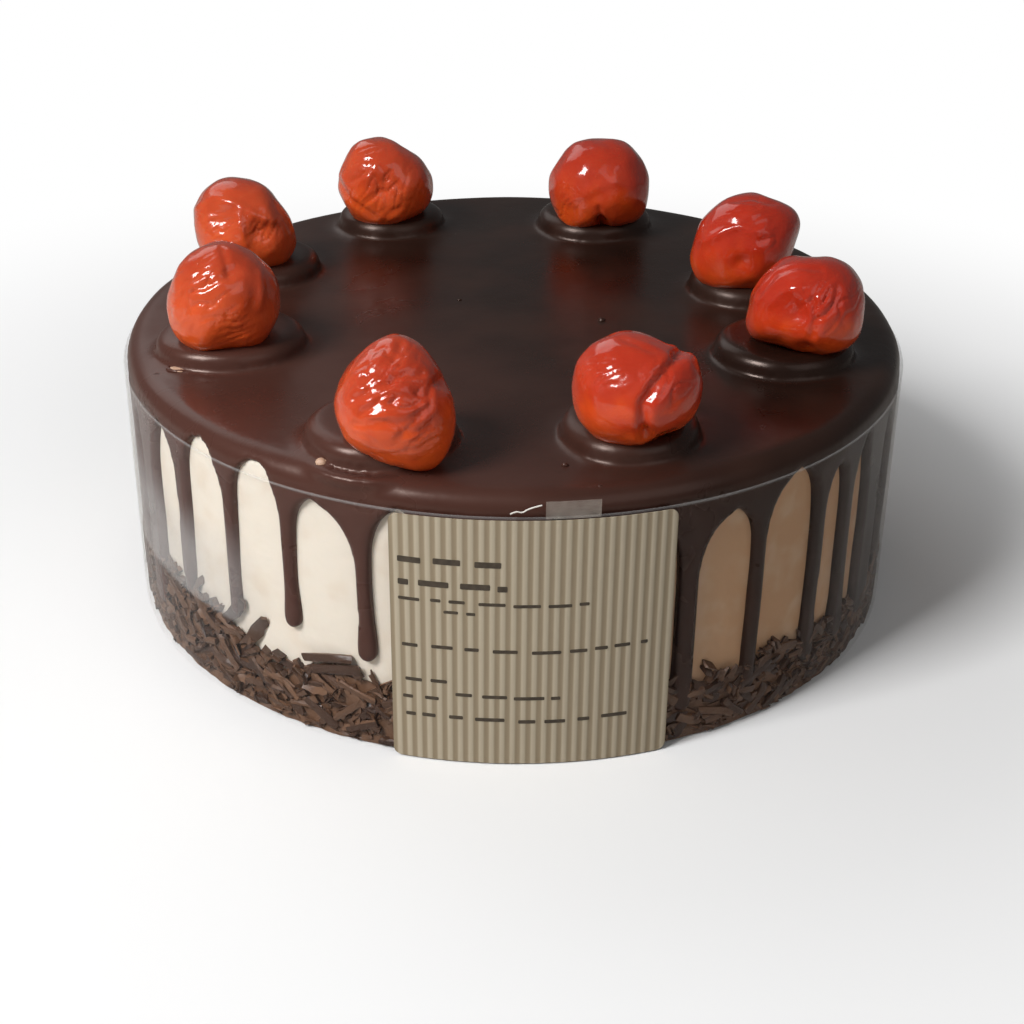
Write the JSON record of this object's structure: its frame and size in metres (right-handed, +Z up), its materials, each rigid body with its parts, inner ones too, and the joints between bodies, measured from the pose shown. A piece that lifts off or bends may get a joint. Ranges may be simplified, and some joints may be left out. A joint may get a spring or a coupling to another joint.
{
  "type": "black forest cake",
  "caption": "Round cream cake under poured chocolate ganache with drips, candied cherries on mounds, shavings at the foot and a clear labelled collar.",
  "frame": {"origin": "centre of the flat underside of the cake", "axes": "+Z up along the axis of the cake, -Y towards the printed label at the front"},
  "size_m": [0.154, 0.1545, 0.0762],
  "materials": {
    "cream": "smooth whipped cream",
    "ganache": "satin poured chocolate",
    "crumbs": "rough chocolate shavings",
    "cherry": "sticky candied fruit",
    "collar": "thin clear film",
    "label": "printed matt paper",
    "tape": "clear tape"
  },
  "bodies": {
    "root": {"cake": "cream", "ganache": "ganache", "crumbs": "crumbs", "cherry_1": "cherry", "cherry_2": "cherry", "cherry_3": "cherry", "cherry_4": "cherry", "cherry_5": "cherry", "cherry_6": "cherry", "cherry_7": "cherry", "cherry_8": "cherry", "collar": "collar", "label": "label", "tape": "tape"}
  },
  "joints": []
}
